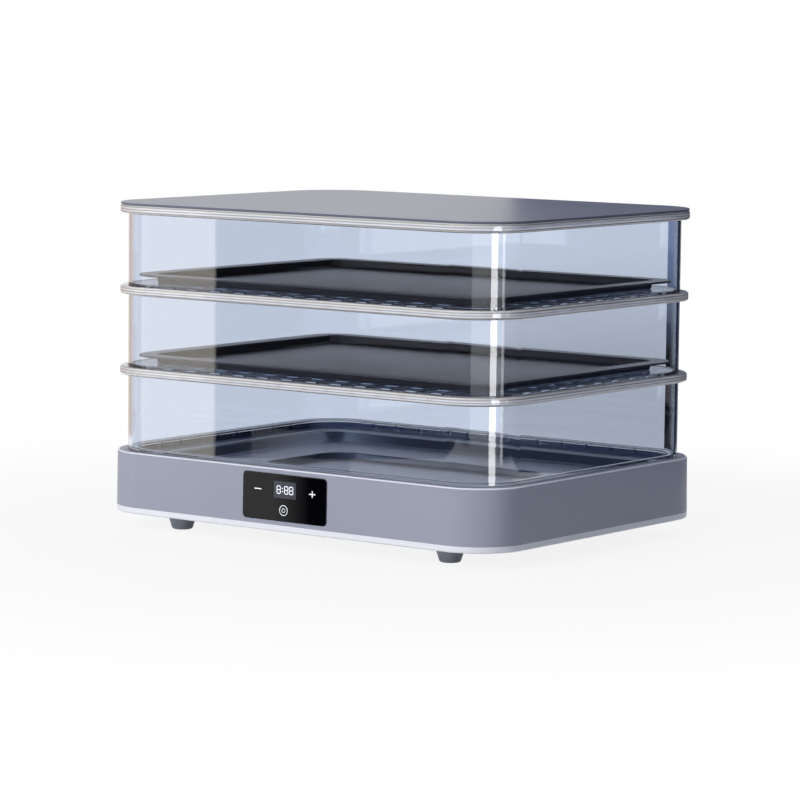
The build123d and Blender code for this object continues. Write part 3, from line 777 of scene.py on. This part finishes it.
window = printed("display_window", [(-12.8, -7.75), (12.8, -7.75), (12.8, 7.75), (-12.8, 7.75)],
                 window_middle, print_lift)
finish_as(window, smoked, "base")
upright_bar = bar_outline(2.6, mark_width, upright=True)
marks = [
    printed("minus", bar_outline(8.0, mark_width), (minus_x, mark_z), print_lift),
    printed("plus_level", bar_outline(7.0, mark_width), (plus_x, mark_z), print_lift),
    printed("plus_upright_top", upright_bar, (plus_x, mark_z + upright_shift), print_lift),
    printed("plus_upright_low", upright_bar, (plus_x, mark_z - upright_shift), print_lift),
]
for radius, width, name in ((4.8, 0.5, "power_ring"), (2.0, 0.45, "power_inner_ring")):
    begin()
    bpy.ops.mesh.primitive_circle_add(
        vertices=64, radius=radius / 1000, fill_type="NGON",
        location=(power_x, panel_face - print_lift, power_z), rotation=(math.pi / 2, 0, 0),
    )
    ring = bpy.context.object
    bpy.ops.object.mode_set(mode="EDIT")
    bpy.ops.mesh.select_all(action="SELECT")
    bpy.ops.mesh.inset(thickness=width / 1000)
    bpy.ops.mesh.delete(type="FACE")
    bpy.ops.mesh.select_all(action="SELECT")
    bpy.ops.mesh.extrude_region_move(TRANSFORM_OT_translate={"value": (0, print_lift, 0)})
    bpy.ops.mesh.select_all(action="SELECT")
    bpy.ops.mesh.normals_make_consistent(inside=False)
    marks.append(settle(ring, name))
touch_marks = join_all(marks, "touch_marks")
finish_as(touch_marks, white_print, "base")

# Three digits of seven segments, and a colon after the first, in mm.
digit_height = 6.8
digit_width = 4.0
stroke = 0.8
segment_gap = 0.25
colon_x = -2.8
colon_dot = [(-0.5, -0.5), (0.5, -0.5), (0.5, 0.5), (-0.5, 0.5)]


def on_window(x, z):
    """A place in the display window, from mm about its middle."""
    return window_middle[0] + x / 1000, window_middle[1] + z / 1000


segments = []
for digit_x in (-7.2, 1.6, 7.4):
    for across, up, upright in (
        (0, 1, False), (0, 0, False), (0, -1, False),
        (-1, 0.5, True), (1, 0.5, True), (-1, -0.5, True), (1, -0.5, True),
    ):
        length = (digit_height / 2 if upright else digit_width) - segment_gap
        spot = on_window(digit_x + across * digit_width / 2, up * digit_height / 2)
        outline = bar_outline(length, stroke, upright, stroke / 2)
        segments.append(printed("segment", outline, spot, digit_lift))
for up in (-1.4, 1.4):
    segments.append(printed("colon", colon_dot, on_window(colon_x, up), digit_lift))
digits = join_all(segments, "display_digits")
finish_as(digits, white_print, "base")


# ---------------------------------------------------------------- boards and their parts
# Glass fibre boards that snap onto pegs: the control board behind the panel, and the power board on the
# cover with a taped transformer, a sealed relay, a sleeved capacitor and a terminal block soldered to it.

# Lacquer over glass cloth and copper: a mottled, glossy green.
dress(["control_board", "power_board"], moulded("Green solder mask", "#14502c", 0.35, 0.6, 0.02, spread=0.15))
# Wound tape: smooth yellow, a little uneven where its turns overlap.
dress(["power_transformer"], moulded("Yellow polyester tape", "#c9a63a", 0.3, 0.8, 0.02, spread=0.08))
# Moulded case: deep blue with a plain satin shine.
dress(["heater_relay"], moulded("Blue sealed relay case", "#1d3f7a", 0.35, 0.5, 0.01))
# Shrunk plastic sleeve: smooth and black with a tight shine.
dress(["smoothing_capacitor"], moulded("Black capacitor sleeve", "#1c1d22", 0.3, 0.5, 0.01))
# Moulded polyamide: a flat mid green.
dress(["terminal_block"], moulded("Green polyamide", "#2a7f4a", 0.42, 0.4, 0.02))


# ---------------------------------------------------------------- mains inlet
# A moulded shell set in the housing's rear wall, with three stamped pins pushed into its back, for a
# detachable lead.

# Glass filled polyamide: dull black.
dress(["mains_inlet"], moulded("Black polyamide", "#161618", 0.45, 0.4, 0.02))
# Bright plating on stamped brass: warm silver with crisp glints.
dress(["inlet_pins"], moulded("Nickel plated brass", "#c9c2ab", 0.22, 0.3, 0.003, metal=1.0))


# ---------------------------------------------------------------- floor and world
# A pale floor that fades to white, so that only a faint shadow grounds the object, in a white world. The
# light that the world sheds is dim and cool, to leave the modelling to the lamps.
def seen_at_all(material):
    """1 where the eye sees a surface directly, in a reflection or through the clear walls."""
    path = add(material, "ShaderNodeLightPath")
    camera_ray, mirror_ray, inner_ray = (
        path.outputs[way] for way in ("Is Camera Ray", "Is Glossy Ray", "Is Transmission Ray")
    )
    direct = add(material, "ShaderNodeMath", {"0": camera_ray, "1": mirror_ray}, operation="MAXIMUM")
    either = add(material, "ShaderNodeMath", {"0": direct.outputs[0], "1": inner_ray}, operation="MAXIMUM")
    return either.outputs[0]


begin()
bpy.ops.mesh.primitive_plane_add(size=160, location=(0, 0, 0))
floor = bpy.context.object
floor.name = "floor"
# Matt card: nearly white under the object, and pure white from less than a metre away.
white = new_material("Pale floor")
where = add(white, "ShaderNodeTexCoord")
far = add(white, "ShaderNodeVectorMath", {"0": where.outputs["Object"]}, operation="LENGTH")
fade = add(white, "ShaderNodeMapRange", {"Value": far.outputs["Value"]}, From_Min=0.35, From_Max=0.9,
           To_Min=0.87, To_Max=1.0, interpolation_type="SMOOTHSTEP")
part = add(white, "ShaderNodeMath", {"0": seen_at_all(white), "1": fade.outputs[0]}, operation="MULTIPLY")
matt = add(white, "ShaderNodeBsdfDiffuse", Color=linear("#e7e7e7"))
glow = add(white, "ShaderNodeEmission", Color=linear("#ffffff"), Strength=1.0)
mixed = add(white, "ShaderNodeMixShader", {"0": part.outputs[0], "1": matt.outputs[0], "2": glow.outputs[0]})
add(white, "ShaderNodeOutputMaterial", {"Surface": mixed.outputs[0]})
floor.data.materials.append(white)

world = bpy.data.worlds.new("studio")
world.use_nodes = True
bpy.context.scene.world = world
world.node_tree.nodes.clear()
dim = add(world, "ShaderNodeBackground", Color=linear("#bccaf2"), Strength=0.23)
bright = add(world, "ShaderNodeBackground", Color=linear("#ffffff"), Strength=1.0)
sky = add(world, "ShaderNodeMixShader",
          {"0": seen_at_all(world), "1": dim.outputs[0], "2": bright.outputs[0]})
add(world, "ShaderNodeOutputWorld", {"Surface": sky.outputs[0]})


# ---------------------------------------------------------------- lamps and cards
# A large soft key from the front, low and rear fills and a weak top light. Upright cards round the object
# give the clear walls something to reflect: white ones draw bright edges, and black flags hold them dark.
def aim(location, target):
    """A matrix at a place whose Z axis points away from the target."""
    direction = Vector(location) - Vector(target)
    return Matrix.Translation(location) @ direction.to_track_quat("Z", "Y").to_matrix().to_4x4()


def lamp(name, location, target, width, height, radiance, in_gloss=True):
    """A white rectangular softbox; its radiance is what a mirror would show, where gloss shows it at all."""
    data = bpy.data.lights.new(name, "AREA")
    data.shape = "RECTANGLE"
    data.size = width
    data.size_y = height
    data.energy = radiance * math.pi * width * height
    item = bpy.data.objects.new(name, data)
    bpy.context.scene.collection.objects.link(item)
    item.matrix_world = aim(location, target)
    item.visible_camera = False
    item.visible_transmission = False
    item.visible_glossy = in_gloss


def card(name, left, right, height, strength, colour="#ffffff", through=True, fade=None,
         seen_through=False):
    """An upright card between two points of the floor, which shows only in reflections: black is a flag.

    Through says that reflections seen through a clear wall show it too. One that is seen_through is a
    backdrop instead: it shows behind the clear walls, and not in reflections. Fade names the card's own
    axis, X across or Y up, which runs from -1 to 1, and the strength near its low end.
    """
    material = new_material(name + " card")
    shine = add(material, "ShaderNodeEmission", Color=linear(colour), Strength=strength)
    if fade:
        axis, low_end = fade
        place = add(material, "ShaderNodeTexCoord")
        apart = add(material, "ShaderNodeSeparateXYZ", {"Vector": place.outputs["Object"]})
        ramp = add(material, "ShaderNodeMapRange", {"Value": apart.outputs[axis]},
                   From_Min=-0.3, From_Max=0.4, To_Min=low_end, To_Max=strength)
        material.node_tree.links.new(ramp.outputs[0], shine.inputs["Strength"])
    clear_air = add(material, "ShaderNodeBsdfTransparent")
    path = add(material, "ShaderNodeLightPath")
    reflected = add(material, "ShaderNodeMath", {"0": path.outputs["Glossy Depth"]},
                    operation="LESS_THAN" if seen_through else "GREATER_THAN", socket_1=0.5)
    both = add(material, "ShaderNodeMixShader",
               {"0": reflected.outputs[0], "1": clear_air.outputs[0], "2": shine.outputs[0]})
    add(material, "ShaderNodeOutputMaterial", {"Surface": both.outputs[0]})
    across = Vector((right[0] - left[0], right[1] - left[1], 0))
    begin()
    bpy.ops.mesh.primitive_plane_add(size=2)
    item = bpy.context.object
    item.name = name
    item.matrix_world = (
        Matrix.Translation(((left[0] + right[0]) / 2, (left[1] + right[1]) / 2, height / 2))
        @ Matrix.Rotation(math.atan2(across.y, across.x), 4, "Z")
        @ Matrix.Rotation(math.pi / 2, 4, "X")
        @ Matrix.Diagonal((across.length / 2, height / 2, 1, 1))
    )
    item.data.materials.append(material)
    for way in ("camera", "diffuse", "volume_scatter", "shadow"):
        setattr(item, "visible_" + way, False)
    item.visible_transmission = through


# Lamps: place, target, width, height and radiance. Cards: left end, right end, height and strength.
lamp("key_softbox", (-0.35, -2.85, 1.8), (0, 0, 0.1), 1.8, 1.4, 6.6)
lamp("low_fill", (-0.3, -2.6, 0.42), (0, 0, 0.12), 1.6, 0.5, 7.5, in_gloss=False)
lamp("rear_fill", (-1.6, 2.4, 1.0), (0, 0, 0.1), 1.8, 1.2, 4.5, in_gloss=False)
lamp("top_softbox", (0.2, 0.3, 2.2), (0, 0, 0.2), 1.8, 1.8, 1.5)

# The front and left: a warm white panel in the left end of each front wall, and darkness to its right.
card("left_white", (-0.659, -0.477), (-0.475, -0.631), 0.42, 2.3, "#fff6e6")
card("front_flag", (-0.475, -0.631), (0.10, -1.11), 0.60, 0.0)
card("near_flag", (0.10, -1.11), (0.52, -0.98), 0.60, 0.0)

# The right: a strip light that draws a bright line down the near corner, and dark glass beside it.
card("corner_strip", (0.66, -0.385), (0.71, -0.26), 0.34, 14.0, through=False)
card("streak_one", (0.93, -0.16), (0.93, -0.08), 0.60, 3.6)
card("streak_two", (0.93, 0.10), (0.92, 0.14), 0.60, 3.6)
card("side_flag", (0.95, -0.20), (0.90, 0.24), 0.60, 0.1, "#7888b0")
card("right_flag", (0.90, 0.24), (-0.05, 0.80), 0.60, 0.1, "#7888b0")

# Behind: shades that give the clear walls their blue grey depth, and the lid its soft gradient.
card("back_shade", (-0.262, 0.551), (-0.10, 0.673), 0.33, 1.02, fade=("Y", 0.70), seen_through=True)
card("end_shade", (-0.112, 0.666), (0.40, 0.62), 0.33, 0.86, "#8fa0c0", fade=("Y", 0.0), seen_through=True)
card("left_flag", (-0.78, 0.32), (-0.95, -0.30), 0.60, 1.0, "#dccabf")
card("lid_flag", (-0.264, 0.552), (0.12, 0.84), 0.90, 0.36, "#8e9ab8", through=False)

# In front of the control panel: a small flag that keeps the floor out of the black glass.
card("panel_flag", (-0.15, -0.298), (-0.03, -0.298), 0.09, 0.0, through=False, fade=("X", 0.55))
